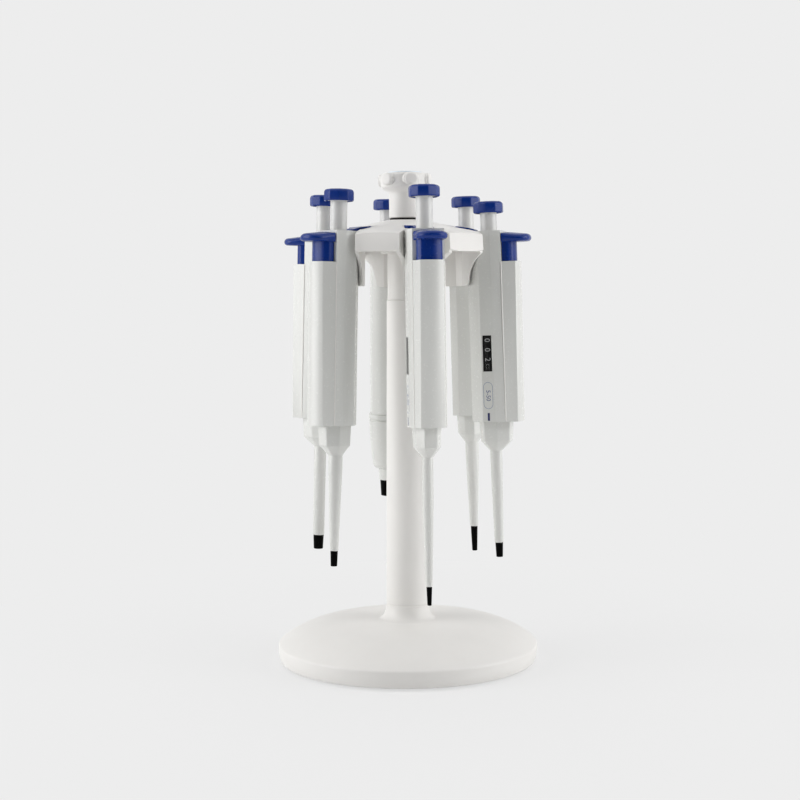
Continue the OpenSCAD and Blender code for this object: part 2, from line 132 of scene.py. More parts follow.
ROD_R = 4.87
ROD_Z = 86                  # lower end of the plunger rod, inside the handle
ROD_STUB = 4                # its length inside the push button
BUTTON_R = 8.95
BUTTON_H = 6.6
BUTTON_Z = 129.2
BUTTON_FACES = 10
BUTTON_TURN = {1: -17, 2: 6, 3: 12, 4: -9, 5: 3, 6: -5}     # degrees
# Foot of the push button's profile: how far in from its faces, and height
BUTTON_FOOT = [(1.3, 2.0), (1.1, 0.3), (0.8, -0.1), (0.45, 0.02), (0.15, 0.3), (0, 0.8)]
SHOULDER_IN, SHOULDER_H = 2.0, 2.1      # its rounded shoulder
LINING_IN = 1.5             # from the push button's faces to its lining
LINING_Z = (0.5, 2.2)       # the lining's underside and top above the foot

FLANGE_Z = 104.3            # underside of the ejector's pad
FLANGE_TOP = 110.5
FLANGE_DROP = 2.0           # how much lower its nose is than its back
FLANGE_CROWN = 56           # its top falls by y^2 over this
FLANGE_BACK_X, FLANGE_TIP = 9.3, 24.7
FLANGE_MID_X = 14.0         # point towards which its rings shrink
FLANGE_HALF_W = 8.95
FLANGE_CORNER = 7.5
FLANGE_NOSE = 0.2           # how far its nose bulges
FLANGE_BACK = [(8.9, 8.0), (9.2, 8.7), (9.9, FLANGE_HALF_W)]    # its back corner as (x, y)
FLANGE_EDGE = 2.0           # rounding of its edges, and of those up to BACK_EDGE_X
BACK_EDGE, BACK_EDGE_X = 0.5, 9.5

# Flank of the ejector's skirt as (x, y) and the rounding of its corners; the arc of the face,
# about (SKIRT_FACE_X, 0), closes it
SKIRT = [(9.1, 7.3), (12.6, 7.3), (14.7, 5.6)]
SKIRT_ROUND = [0.3, 0.8, 0.4]
SKIRT_FACE_X, SKIRT_FACE_R = 5.0, 11.2
SKIRT_Z = 85.6              # its lower end
PUSH_ROD_X, PUSH_ROD_R = 8.4, 1.4
PUSH_ROD_Z = (10, 86)

# Half outline of the sleeve's shoulder block as (x, y), and its rings as (share of that
# outline, z)
BLOCK = [(-8.7, 3), (-5, 7.8), (3, 7.6), (10.2, 3.9)]
BLOCK_RINGS = [(0.90, 10.0), (0.92, -0.2), (0.975, -0.3), (1.0, -0.9), (0.965, -6), (0.94, -11.2)]
BLEND_SCALE = 0.935         # share of the outline where the blend into the shaft starts
BLEND_Z, BLEND_H = -11.6, 5.8
SHAFT_Z = -17.8             # where the shaft is round
SLEEVE_POINTS = 96
BORE_GAP = 0.06             # between the black cone and the sleeve
BORE_H = 18

# Profile of the wide sleeve as (r, z), and the rounding of each corner
WIDE_COLLAR = [(11.4, 0), (11.4, -0.4), (12.2, -0.8), (12.2, -3.6), (11.2, -3.8), (11.2, -4.6),
               (12, -4.8), (10.5, -26), (9.6, -31)]
WIDE_COLLAR_ROUND = [0, 0.1, 0.3, 0.1, 0.1, 0.1, 0.1, 4, 0]
SPOUT_R, SPOUT_Z = 5.6, -31.6
SPOUT_SHOULDER = 4          # radius of the quarter round above the spout
SPOUT_STEP = 1              # its slanted top
SPOUT_TAPER = 0.4
WIDE_BORE_H = 20

STEM_H = 3                  # the black cone's stem inside the sleeve
TIP_BORE_R, TIP_BORE_H = 0.6, 6     # the cone's own bore

# Radius of the sleeve's shaft, where its taper starts, radius and height of its end, the black
# cone's upper and lower radius and its lower end, and how much lower the push button stands
Shaft = namedtuple("Shaft", "top_r taper_z end_r end_z cone_r mouth_r mouth_z drop")
SHAFTS = {
    1: Shaft(3.2, -41.5, 1.95, -90.7, 1.65, 1.2, -101.5, 0.0),
    2: Shaft(3.6, -25.0, 2.65, -71.9, 2.3, 1.95, -80.6, 7.5),
    3: Shaft(4.2, -25.0, 2.6, -70.5, 2.15, 1.6, -86.2, 1.0),
    4: Shaft(12.0, -6.0, 5.9, -42.8, 4.9, 4.3, -53.0, 1.4),
    5: Shaft(3.7, -25.0, 3.5, -72.0, 3.2, 2.85, -80.7, 1.0),
    6: Shaft(4.15, -25.0, 2.45, -72.8, 2.15, 1.9, -81.8, 1.0),
}

# Display window in the handle's side, and the counter rings behind it
WINDOW_X = (-3.6, 2.0)
WINDOW_Z = (29.6, 50.6)
WINDOW_DEEP = 2.6
WINDOW_GAP = 0.02           # between the counter and the window's walls
WINDOW_MID = sum(WINDOW_X) / 2
DRUM_R = 3.6
DRUM_SUNK = 0.6             # from the handle's side in to the rings
DRUM_Y = -SIDE_Y + DRUM_SUNK + DRUM_R
RING_PITCH = 5.6
RING_GROOVE = 0.16          # depth of the groove between rings
RING_GROOVE_HALF_W = 0.15

# Ink on the rings and on the display side
DRUM_INK, SIDE_INK = 0.05, 0.02     # how far it stands off
READINGS = {1: "001", 2: "002", 3: "010", 4: "100", 5: "050", 6: "020"}
RANGES = {1: "2-20", 2: "5-50", 3: "20-200", 4: "500-5000", 5: "100-1000", 6: "10-100"}
DIGIT_SIZE, DIGIT_Z = 4.6, 47.8
TICKS, TICK_Z, TICK_PITCH, TICK_T = 9, 30.6, 0.45, 0.15
TICK_LONG, TICK_SHORT, TICK_EVERY = 1.3, 0.8, 4
LABEL_X, LABEL_Z = -0.9, 15.6
LABEL_SIZE, LABEL_SMALL, LABEL_CHARS = 3.6, 2.7, 6     # small from so many characters on
OVAL_OUTER, OVAL_INNER = (2.8, 7.8, 23.4), (2.58, 8.02, 23.18)     # half width, ends in z
BAR = [(-1.6, 0.9), (-0.3, 0.9), (-0.3, 5.5), (-1.6, 5.5)]


def pipette_place(k):
    """Matrix of pipette k: leaned about y, moved out, and turned round the column by 60 (k - 1)."""
    turn = Matrix.Rotation(math.radians(60 * (k - 1) - 90), 4, "Z")
    out = Matrix.Translation((HANG_R, 0, HANDLE_Z))
    return turn @ out @ Matrix.Rotation(math.radians(-LEAN), 4, "Y")


# ---- Surfaces -----------------------------------------------------------------------

def rounded(points, size, steps=5, closed=True):
    """Outline with rounded corners: each corner p becomes the curve
    (1-t)^2 a + 2t(1-t) p + t^2 b, where a and b lie `size` before and after p."""
    p = np.asarray(points, float)
    size = np.broadcast_to(np.asarray(size, float), len(p))[:, None]
    back, ahead = np.roll(p, 1, 0) - p, np.roll(p, -1, 0) - p
    a = p + back / np.linalg.norm(back, axis=1, keepdims=True) * size
    b = p + ahead / np.linalg.norm(ahead, axis=1, keepdims=True) * size
    t = np.linspace(0, 1, steps + 1)[None, :, None]
    curve = (1 - t) ** 2 * a[:, None] + 2 * t * (1 - t) * p[:, None] + t ** 2 * b[:, None]
    if not closed:
        curve[0], curve[-1] = p[0], p[-1]
    flat = curve.reshape(-1, 2)
    keep = np.linalg.norm(flat - np.roll(flat, 1, 0), axis=1) > 1e-6
    keep[0] = True
    return flat[keep]


def mirrored(half):
    """Closed outline from its half at y > 0: the half, then the same points with y turned over."""
    h = np.asarray(half, float)
    return np.concatenate([h, h[::-1] * [1, -1]])


def rings_faces(rings, count, loop=False):
    """Quads between neighbouring rings of `count` points; with loop, the last ring meets the
    first."""
    i = np.arange(rings if loop else rings - 1)[:, None]
    j = np.arange(count)[None, :]
    up, on = (i + 1) % rings, (j + 1) % count
    quads = [i * count + j, i * count + on, up * count + on, up * count + j]
    return np.stack(quads, -1).reshape(-1, 4)


def level_ring(flat, z):
    """Flat (x, y) points with their height, one for all or one each, as a ring."""
    return np.column_stack([flat, np.broadcast_to(z, len(flat))])


def tube(rings, loop=False):
    """Skin over rings of points, an array (rings, points, 3). Without loop, each end is closed
    by a fan to the end ring's middle."""
    rings = np.asarray(rings, float)
    n, m = rings.shape[:2]
    points, faces = rings.reshape(-1, 3), rings_faces(n, m, loop).tolist()
    if not loop:
        points = np.concatenate([points, rings[[0, -1]].mean(1)])
        j = np.arange(m)
        on = (j + 1) % m
        faces += np.stack([on, j, np.full(m, n * m)], -1).tolist()
        faces += np.stack([(n - 1) * m + j, (n - 1) * m + on, np.full(m, n * m + 1)], -1).tolist()
    return points, faces


def turned(profile, count=96):
    """Surface of revolution: profile point (r, z) goes to (r cos a, r sin a, z) at equal angles
    a. A profile that keeps off the axis closes on itself."""
    p = np.asarray(profile, float)
    a = np.linspace(0, 2 * np.pi, count, endpoint=False)
    r, z = p[:, :1], p[:, 1:]
    rings = np.stack([r * np.cos(a), r * np.sin(a), z + 0 * a], -1)
    return tube(rings, loop=p[[0, -1], 0].min() > 0)


def shifted(part, by):
    """The part with each point moved by (x, y, z)."""
    points, faces = part
    return points + by, faces


def polar_radius(outline, angles):
    """Distance from the middle to a convex outline along each angle: the nearest crossing of the
    ray with the lines through the outline's sides."""
    o = np.asarray(outline, float)
    d = np.roll(o, -1, 0) - o
    normal = np.stack([d[:, 1], -d[:, 0]], -1)
    normal /= np.linalg.norm(normal, axis=1, keepdims=True)
    reach = (normal * o).sum(1)
    normal, reach = normal * np.sign(reach)[:, None], np.abs(reach)
    slope = normal @ np.stack([np.cos(angles), np.sin(angles)])
    return np.where(slope > 1e-9, reach[:, None] / np.maximum(slope, 1e-9), np.inf).min(0)


def smooth_min(a, b, width):
    """Smaller of a and b with a blend: h = max(width - |a-b|, 0) / width, and
    min(a, b) - h^2 width / 4."""
    h = np.maximum(width - np.abs(a - b), 0) / width
    return np.minimum(a, b) - h * h * width / 4


# ---- Pieces -------------------------------------------------------------------------

def add_piece(name, parts, material, body, nodes=(), place=None, sharp=40):
    """Joins parts into one piece on a body: doubles merged, faces outward, edges sharp above an
    angle."""
    points, faces, start = [], [], 0
    for p, f in parts:
        points.append(p)
        faces += [[i + start for i in face] for face in f]
        start += len(p)
    mesh = bpy.data.meshes.new(name)
    mesh.from_pydata((np.concatenate(points) * MM).tolist(), [], faces)
    if place is not None:
        mesh.transform(Matrix.Translation(place.translation * MM) @ place.to_3x3().to_4x4())
    bm = bmesh.new()
    bm.from_mesh(mesh)
    bmesh.ops.remove_doubles(bm, verts=bm.verts, dist=MERGE)
    bmesh.ops.recalc_face_normals(bm, faces=bm.faces)
    bm.to_mesh(mesh)
    bm.free()
    return dress(name, mesh, material, body, nodes, sharp)


def dress(name, mesh, material, body, nodes, sharp):
    """Object of a mesh with its material, smooth shading, body and the nodes it stands for."""
    piece = new_object(name, mesh)
    piece.data.materials.clear()
    piece.data.materials.append(material)
    piece.data.shade_smooth()
    piece.data.set_sharp_from_angle(angle=math.radians(sharp))
    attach(piece, body)
    if nodes:
        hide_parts(*nodes)
    return piece


def new_object(name, data):
    """Object with its data, linked to the scene."""
    thing = bpy.data.objects.new(name, data)
    bpy.context.scene.collection.objects.link(thing)
    return thing


def softened(node, name, material, body, width, angle=11, place=None, reshape=None):
    """A copy of a CAD node with its doubles merged, its flat faces joined and its edges rounded.
    With reshape, that function moves its points in the pipette's own axes first."""
    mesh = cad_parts[node].data.copy()
    mesh.name = name
    if reshape is not None:
        points = np.empty(len(mesh.vertices) * 3)
        mesh.vertices.foreach_get("co", points)
        turn, origin = np.array(place)[:3, :3], np.array(place)[:3, 3]
        own = reshape((points.reshape(-1, 3) / MM - origin) @ turn)
        mesh.vertices.foreach_set("co", ((own @ turn.T + origin) * MM).ravel())
    bm = bmesh.new()
    bm.from_mesh(mesh)
    bmesh.ops.remove_doubles(bm, verts=bm.verts, dist=MERGE)
    bmesh.ops.dissolve_limit(bm, angle_limit=math.radians(FLAT), verts=bm.verts, edges=bm.edges)
    bm.to_mesh(mesh)
    bm.free()
    piece = dress(name, mesh, material, body, [node], 60)
    bevel = piece.modifiers.new("edges", "BEVEL")
    bevel.width = width * MM
    bevel.segments = 3
    bevel.limit_method = "ANGLE"
    bevel.angle_limit = math.radians(angle)
    bevel.harden_normals = True
    bevel.use_clamp_overlap = True
    return piece


# ---- Materials ----------------------------------------------------------------------

CLOUD_SCALE = 65            # noise scales are per metre
SHEEN_SCALE = 700
SHEEN_DRIFT = 0.05
GRAIN_DEPTH = 0.00004       # metres


def map_range(nodes, links, value, to, span=(0, 1), smooth=False):
    """Lays a value's span onto `to`, straight or with smooth ends, and clamps it there."""
    node = nodes.new("ShaderNodeMapRange")
    node.interpolation_type = "SMOOTHSTEP" if smooth else "LINEAR"
    for socket, number in zip(("From Min", "From Max", "To Min", "To Max"), (*span, *to)):
        node.inputs[socket].default_value = number
    links.new(value, node.inputs["Value"])
    return node.outputs["Result"]


def maths(nodes, links, operation, *values):
    """Math node: the operation on the linked values."""
    node = nodes.new("ShaderNodeMath")
    node.operation = operation
    for value, socket in zip(values, node.inputs):
        links.new(value, socket)
    return node.outputs[0]


def plastic(name, colour, roughness, cloud=0.02, grain=0.25, pore=4500, specular=0.5):
    """Moulded plastic: faint clouding of the colour over some 15 mm, roughness that drifts,
    and the fine grain of the mould as bump."""
    material = bpy.data.materials.new(name)
    material.use_nodes = True
    nodes, links = material.node_tree.nodes, material.node_tree.links
    shader = nodes["Principled BSDF"]
    shader.inputs["Specular IOR Level"].default_value = specular
    where = nodes.new("ShaderNodeTexCoord")

    def noise(scale, detail):
        """Noise over the object's own coordinates."""
        node = nodes.new("ShaderNodeTexNoise")
        node.inputs["Scale"].default_value = scale
        node.inputs["Detail"].default_value = detail
        links.new(where.outputs["Object"], node.inputs["Vector"])
        return node.outputs["Fac"]

    shade = nodes.new("ShaderNodeMix")
    shade.data_type = "RGBA"
    shade.inputs["A"].default_value = [c * (1 - cloud) for c in colour] + [1]
    shade.inputs["B"].default_value = [min(1, c * (1 + cloud)) for c in colour] + [1]
    links.new(noise(CLOUD_SCALE, 3), shade.inputs["Factor"])
    links.new(shade.outputs["Result"], shader.inputs["Base Color"])

    sheen = map_range(nodes, links, noise(SHEEN_SCALE, 4),
                      (roughness - SHEEN_DRIFT, roughness + SHEEN_DRIFT))
    links.new(sheen, shader.inputs["Roughness"])

    bump = nodes.new("ShaderNodeBump")
    bump.inputs["Strength"].default_value = grain
    bump.inputs["Distance"].default_value = GRAIN_DEPTH
    links.new(noise(pore, 2), bump.inputs["Height"])
    links.new(bump.outputs["Normal"], shader.inputs["Normal"])
    return material


def metal(name, colour, roughness):
    """Brushed or blasted metal: the plastic's nodes with full metalness and a coarser grain."""
    material = plastic(name, colour, roughness, cloud=0.06, grain=0.4, pore=2600)
    material.node_tree.nodes["Principled BSDF"].inputs["Metallic"].default_value = 1
    return material


stand_white = plastic("stand_white", (0.86, 0.845, 0.82), 0.45)
pipette_white = plastic("pipette_white", (0.735, 0.74, 0.715), 0.26, grain=0.12, specular=0.55)
rod_white = plastic("rod_white", (0.73, 0.73, 0.715), 0.2, specular=0.6)
pipette_blue = plastic("pipette_blue", (0.004, 0.030, 0.215), 0.26, cloud=0.06, grain=0.12,
                       specular=0.28)
tip_black = plastic("tip_black", (0.0015, 0.0015, 0.0016), 0.3, cloud=0.15, specular=0.03)
counter_black = plastic("counter_black", (0.004, 0.004, 0.004), 0.35, cloud=0.15, specular=0.25)
inlay_blue = plastic("inlay_blue", (0.78, 0.86, 0.93), 0.35)
washer_black = plastic("washer_black", (0.010, 0.008, 0.009), 0.5, cloud=0.15, specular=0.2)
rubber = plastic("foot_rubber", (0.03, 0.03, 0.032), 0.75, cloud=0.12, grain=0.6, pore=3000)
plate_steel = metal("plate_steel", (0.56, 0.57, 0.58), 0.42)
screw_steel = metal("screw_steel", (0.62, 0.62, 0.62), 0.3)
weight_iron = metal("weight_iron", (0.10, 0.10, 0.105), 0.6)
ink_grey = plastic("ink_grey", (0.42, 0.43, 0.44), 0.5)
ink_navy = plastic("ink_navy", (0.010, 0.014, 0.115), 0.5, cloud=0.1)
ink_outline = plastic("ink_outline", (0.17, 0.22, 0.38), 0.5)
ink_blue = plastic("ink_blue", (0.045, 0.07, 0.24), 0.5)

# Nodes that show their own CAD mesh
NODE_MATERIALS = {
    "base_plate": plate_steel, "base_weight": weight_iron, "base_screws": screw_steel,
    "tie_rod": screw_steel, "rubber_feet": rubber,
}

# ---- Base, column and head ----------------------------------------------------------

def crown_height(r, wall=0.0):
    """Height of the base's crown: RIM_Z + CROWN_H (1 - (r / RIM_R)^CROWN_POWER), less the
    wall."""
    return RIM_Z - wall + CROWN_H * (1 - (r / RIM_R) ** CROWN_POWER)


def base_cover():
    """Revolved shell: upright rim with a rounded foot, crown, flare that sweeps up to the column
    as a quarter of an ellipse, and the inner wall COVER_WALL below the crown."""
    rim = rounded([(PLATE_R, BASE_Z), (RIM_R - 1.3, BASE_Z), (RIM_R - 0.1, RIM_FOOT_Z),
                   (RIM_R, RIM_Z), (RIM_R - RIM_IN, crown_height(RIM_R - RIM_IN))],
                  [0, 1.1, 2.0, 1.1, 0], 6, closed=False)
    r = np.linspace(RIM_R - CROWN_IN, FLARE_R, 60)
    crown = np.stack([r, crown_height(r)], -1)
    a = np.linspace(0, math.pi / 2, 20)[1:]
    flare_z = crown[-1, 1]
    flare = np.stack([FLARE_R - (FLARE_R - COLUMN_R) * np.sin(a),
                      flare_z + (FOOT_Z - flare_z) * (1 - np.cos(a))], -1)
    lip = [(COLUMN_R, FOOT_Z - LIP), (COLUMN_R - LIP, FOOT_Z), (PLUG_R, FOOT_Z)]
    r = np.linspace(SOCKET_R, PLATE_R, 40)
    inner = np.stack([r, crown_height(r, COVER_WALL)], -1)
    socket = [(PLUG_R, inner[0, 1] + SOCKET_H)]
    return turned(np.concatenate([rim[:-1], crown, flare[:-1], lip, socket, inner]), 192)


def column():
    """Revolved tube with a shallow ring groove at its foot and a rounded top edge."""
    profile = [(TIE_BORE_R, FOOT_Z - PLUG_H), (PLUG_R, FOOT_Z - PLUG_H), (PLUG_R, FOOT_Z),
               (COLUMN_R - COLUMN_EDGE, FOOT_Z), (COLUMN_R - COLUMN_EDGE, FOOT_Z + GROOVE_H),
               (COLUMN_R, FOOT_Z + GROOVE_TOP), (COLUMN_TOP_R, COLUMN_TOP_Z - COLUMN_EDGE),
               (COLUMN_TOP_R - COLUMN_EDGE, COLUMN_TOP_Z), (TIE_BORE_R, COLUMN_TOP_Z)]
    return turned(rounded(profile, [0, 0, 0, 0, 0.1, 0.2, 0.2, 0.1, 0], 4), 128)


def neck():
    """Revolved spindle: plug, neck up to the thrust ring, and the journal inside the head."""
    profile = [(TIE_BORE_R, NECK_PLUG_Z), (NECK_PLUG_R, NECK_PLUG_Z), (NECK_PLUG_R, COLUMN_TOP_Z),
               (NECK_R, COLUMN_TOP_Z), (NECK_R - NECK_TAPER, THRUST_Z), (JOURNAL_R, THRUST_Z),
               (JOURNAL_R, RING_Z), (TIE_BORE_R, RING_Z)]
    return turned(rounded(profile, [0, 0, 0, 0.4, 0.4, 0, 0.2, 0], 4), 128)


def washer(r_in, r_out, z, t):
    """Flat ring with rounded edges, revolved."""
    return turned(rounded([(r_in, z), (r_out, z), (r_out, z + t), (r_in, z + t)], 0.2, 3), 96)


def star_knob():
    """Lobed knob as rings of radius r(angle, height): the body, a neck that widens into the
    crown, blended with the lobes. A lobe lies along its radius and has the section
    |v/w|^p + |dz/h|^p = 1, so the ray at angle d from it leaves at
    w (1 - |dz/h|^p)^(1/p) / |sin d|, or at its end face (KNOB_R - drop) / cos d, whichever is
    nearer; the drop rounds the end face's edge."""
    angles = np.linspace(0, 2 * np.pi, 720, endpoint=False)
    pitch = 2 * np.pi / LOBES
    d = (angles - math.radians(KNOB_TURN) + pitch / 2) % pitch - pitch / 2
    lobe_z = KNOB_H - LOBE_HALF_H - LOBE_GAP
    below = np.linspace(0.4, lobe_z - LOBE_HALF_H - 0.1, 28, endpoint=False)
    beside = lobe_z - (LOBE_HALF_H + LOBE_GAP) * np.cos(np.pi * np.linspace(0, 1, 90))
    z = np.minimum(np.concatenate([below, beside]), KNOB_H)[:, None]

    flare = np.clip((z - KNOB_FLARE_Z) / KNOB_FLARE_H, 0, 1)
    core = KNOB_NECK_R + (KNOB_CROWN_R - KNOB_NECK_R) * flare ** 2 * (3 - 2 * flare)
    drop = np.maximum(z - (KNOB_H - KNOB_EDGE), 0) / KNOB_EDGE
    core = core - KNOB_EDGE * (1 - np.sqrt(np.maximum(0, 1 - drop ** 2)))

    level = np.minimum(np.abs(z - lobe_z) / LOBE_HALF_H, 1)
    half = LOBE_HALF_W * (1 - level ** LOBE_POWER) ** (1 / LOBE_POWER)
    side = half / np.maximum(np.abs(np.sin(d)), 1e-4)
    reach = (np.abs(KNOB_R * np.tan(d)) / LOBE_HALF_W) ** LOBE_POWER + level ** LOBE_POWER
    edge = np.clip((reach ** (1 / LOBE_POWER) - 1) * LOBE_HALF_W / LOBE_EDGE + 1, 0, 1)
    end = (KNOB_R - LOBE_EDGE * (1 - np.sqrt(1 - edge ** 2))) / np.cos(d)

    r = -smooth_min(-core, -smooth_min(side, end, LOBE_BLEND), BODY_BLEND)
    body = np.stack([r * np.cos(angles), r * np.sin(angles), z + 0 * r], -1)
    rim = body[-1, :, :2] / np.linalg.norm(body[-1, :, :2], axis=1, keepdims=True)
    rings = np.stack([level_ring(rim * (KNOB_NECK_R - 0.5), 0), *body,
                      level_ring(rim * (DISC_R + 0.1), KNOB_H),
                      level_ring(rim * (DISC_R + 0.1), KNOB_H - DISC_SEAT)])
    rings[..., 2] += KNOB_Z
    return tube(rings)


def inlay():
    """Revolved disc with a rounded edge and a faint crown."""
    z = KNOB_Z + KNOB_H - DISC_SEAT
    profile = [(0, z), (DISC_R, z), (DISC_R, z + 1.9), (0, z + 2.2)]
    return turned(rounded(profile, [0, 0.1, 0.7, 0], 5, closed=False), 128)


add_piece("cover", [base_cover()], stand_white, "base", ["base_cover"])
add_piece("column", [column()], stand_white, "base", ["column_tube"])
add_piece("neck", [neck()], stand_white, "base", ["neck_spindle"])
# A black ring fills the gap between the head and the knob.
add_piece("clamp_ring", [washer(TIE_BORE_R, RING_R, RING_Z, RING_T)], washer_black, "base",
          ["bearing_washers"])
add_piece("thrust_ring", [washer(THRUST_IN_R, THRUST_OUT_R, THRUST_Z, THRUST_T)], stand_white,
          "base")
add_piece("knob", [star_knob()], stand_white, "base", ["star_knob"])
add_piece("inlay", [inlay()], inlay_blue, "base", ["knob_disc"])
softened("carousel_head", "head", stand_white, "carousel", 0.9, angle=14)

# ---- Plunger and push button --------------------------------------------------------

def plunger_rod(k):
    """Revolved rod from inside the handle up into the push button."""
    top = BUTTON_Z - SHAFTS[k].drop + ROD_STUB
    profile = [(0, ROD_Z), (ROD_R, ROD_Z), (ROD_R, top), (0, top)]
    return turned(rounded(profile, [0, 0.5, 0.1, 0], 4, closed=False), 64)


def push_button(k):
    """Rings of a many-sided outline with rounded corners, sized by the profile: a thin foot,
    straight faces, and a shoulder of a quarter ellipse up to a flat top."""
    a = np.linspace(0, 2 * np.pi, BUTTON_FACES, endpoint=False)
    a = a + np.pi / BUTTON_FACES + math.radians(BUTTON_TURN[k])
    outline = rounded(np.stack([np.cos(a), np.sin(a)], -1), 0.06, 4)
    t = np.linspace(0, math.pi / 2, 9)
    foot = [(BUTTON_R - inset, z) for inset, z in BUTTON_FOOT]
    shoulder = np.stack([BUTTON_R - SHOULDER_IN + SHOULDER_IN * np.cos(t),
                         BUTTON_H - SHOULDER_H + SHOULDER_H * np.sin(t)], -1)
    top = [(4, BUTTON_H), (1, BUTTON_H + 0.02)]
    profile = np.concatenate([[(ROD_R + 0.1, 2.2)], foot, shoulder, top])
    rings = np.stack([level_ring(outline * r, z) for r, z in profile])
    rings[..., 2] += BUTTON_Z - SHAFTS[k].drop
    return tube(rings)


def button_lining(k):
    """Revolved pale disc that closes the push button's underside round the rod."""
    low, high = (BUTTON_Z - SHAFTS[k].drop + z for z in LINING_Z)
    r_in, r_out = ROD_R + 0.05, BUTTON_R - LINING_IN
    profile = [(r_in, low), (r_out, low), (r_out, high), (r_in, high)]
    return turned(rounded(profile, [0.3, 0.3, 0.1, 0.1], 3), 64)


# ---- Ejector ------------------------------------------------------------------------

def flange_top(flat):
    """Height of the pad's top over (x, y): FLANGE_TOP at its back, FLANGE_DROP lower at its
    nose, and less by y^2 / FLANGE_CROWN."""
    x, y = flat[:, 0], flat[:, 1]
    share = np.clip((x - FLANGE_BACK_X) / (FLANGE_TIP - FLANGE_BACK_X), 0, 1)
    return FLANGE_TOP - FLANGE_DROP * share - y ** 2 / FLANGE_CROWN


def thumb_flange():
    """Pad with a flat underside and the top of flange_top. Its outline has corner arcs. At angle
    a from -90 to 90 degrees it is drawn in by e (1 - cos a), while its height runs e (1 + sin a)
    up from the underside and then e (1 - sin a) below the top."""
    t = np.radians(np.linspace(-90, -15, 14))
    corner_x, corner_y = FLANGE_TIP - FLANGE_CORNER, FLANGE_HALF_W - FLANGE_CORNER
    corner = np.stack([corner_x + FLANGE_CORNER * np.cos(t),
                       -corner_y + FLANGE_CORNER * np.sin(t)], -1)
    across = np.linspace(-0.8, 0.8, 9)[:, None]
    nose = np.concatenate([FLANGE_TIP - FLANGE_NOSE * across ** 2, -corner[-1, 1] * across], 1)
    back = np.array(FLANGE_BACK)
    flip = [1, -1]
    outline = np.concatenate([back * flip, corner, nose, corner[::-1] * flip, back[::-1]])
    middle = np.array([FLANGE_MID_X, 0.0])
    away = outline - middle
    length = np.linalg.norm(away, axis=1, keepdims=True)
    edge = np.where(outline[:, 0] < BACK_EDGE_X, BACK_EDGE, FLANGE_EDGE)
    rings = []
    for a in np.radians(np.linspace(-90, 90, 19)):
        flat = middle + away * (1 - edge[:, None] * (1 - math.cos(a)) / length)
        rising, falling = FLANGE_Z + edge * (1 + math.sin(a)), edge * (1 - math.sin(a))
        rings.append(level_ring(flat, rising if a < 0 else flange_top(flat) - falling))
    for share in (0.8, 0.6, 0.4, 0.2):
        inner = middle + (flat - middle) * share
        rings.append(level_ring(inner, flange_top(inner)))
    return tube(np.stack(rings))


def skirt():
    """Prism with a round outer face and rounded edges that covers the recess, and the rod that
    pushes the sleeve. The face is the arc (X + R cos a, R sin a)."""
    a = np.radians(np.linspace(26, 4, 6))
    face = np.stack([SKIRT_FACE_X + SKIRT_FACE_R * np.cos(a), SKIRT_FACE_R * np.sin(a)], -1)
    size = SKIRT_ROUND + [0.05] * len(face)
    outline = rounded(mirrored(np.concatenate([SKIRT, face])), size + size[::-1], 4)
    rings = [level_ring(outline, z) for z in (SKIRT_Z, FLANGE_Z + 1)]
    low, high = PUSH_ROD_Z
    rod = turned([(0, low), (PUSH_ROD_R, low), (PUSH_ROD_R, high), (0, high)], 16)
    return [tube(np.stack(rings)), shifted(rod, (PUSH_ROD_X, 0, 0))]


def sleeve(k):
    """Ejector sleeve as rings of radius by angle: the shoulder block's outline, its taper, the
    straight blend (1 - s) block + s circle, and the shaft down to its rim and up its bore."""
    shaft = SHAFTS[k]
    bore = shaft.cone_r + BORE_GAP
    if k == LARGE:
        return wide_sleeve(shaft, bore)
    angles = np.linspace(0, 2 * np.pi, SLEEVE_POINTS, endpoint=False)
    block = polar_radius(mirrored(BLOCK), angles)
    rings = [(block * scale, z) for scale, z in BLOCK_RINGS]
    rings += [(block * BLEND_SCALE * (1 - s) + shaft.top_r * s, BLEND_Z - BLEND_H * s)
              for s in np.linspace(0, 1, 10)]
    rings += [(shaft.top_r, SHAFT_Z), (shaft.top_r, shaft.taper_z),
              (shaft.end_r, shaft.end_z + 0.3), (shaft.end_r - 0.1, shaft.end_z),
              (bore, shaft.end_z), (bore, shaft.end_z + BORE_H)]
    ray = np.stack([np.cos(angles), np.sin(angles)], -1)
    return tube(np.stack([level_ring(np.reshape(r, (-1, 1)) * ray, z) for r, z in rings]))


def wide_sleeve(shaft, bore):
    """Revolved sleeve of the wide pipette: ribbed collar, chamber, quarter-round shoulder and
    spout with its bore."""
    collar = rounded(WIDE_COLLAR, WIDE_COLLAR_ROUND, 6, closed=False)
    a = np.linspace(0, math.pi / 2, 12)
    shoulder = np.stack([SPOUT_R + SPOUT_SHOULDER * np.cos(a),
                         SPOUT_Z - SPOUT_SHOULDER * np.sin(a)], -1)
    z, end_z = SPOUT_Z - SPOUT_SHOULDER, shaft.end_z
    spout = [(SPOUT_R, z), (shaft.end_r, z - SPOUT_STEP), (shaft.end_r - SPOUT_TAPER, end_z),
             (bore, end_z), (bore, end_z + WIDE_BORE_H), (0, end_z + WIDE_BORE_H)]
    spout = rounded(spout, [0, 0.3, 0.2, 0.1, 0.1, 0], 4, closed=False)
    return turned(np.concatenate([[(0, 0)], collar, shoulder, spout]), 128)


# ---- Handle, black cone and counter -------------------------------------------------

def handle_points(p):
    """The CAD handle's points with its top raised and the back wall of the ejector's recess
    moved out, which narrows it along the handle's slanted sides."""
    p = p.copy()
    wall = (np.abs(p[:, 0] - SHELF_X) < NEAR) & (p[:, 2] > SHELF_Z - NEAR)
    p[:, 2] += HANDLE_RISE * (p[:, 2] > HANDLE_TOP_Z)
    p[:, 0] += SHELF_MOVE * wall
    p[:, 1] *= 1 - SHELF_NARROW * wall
    return p


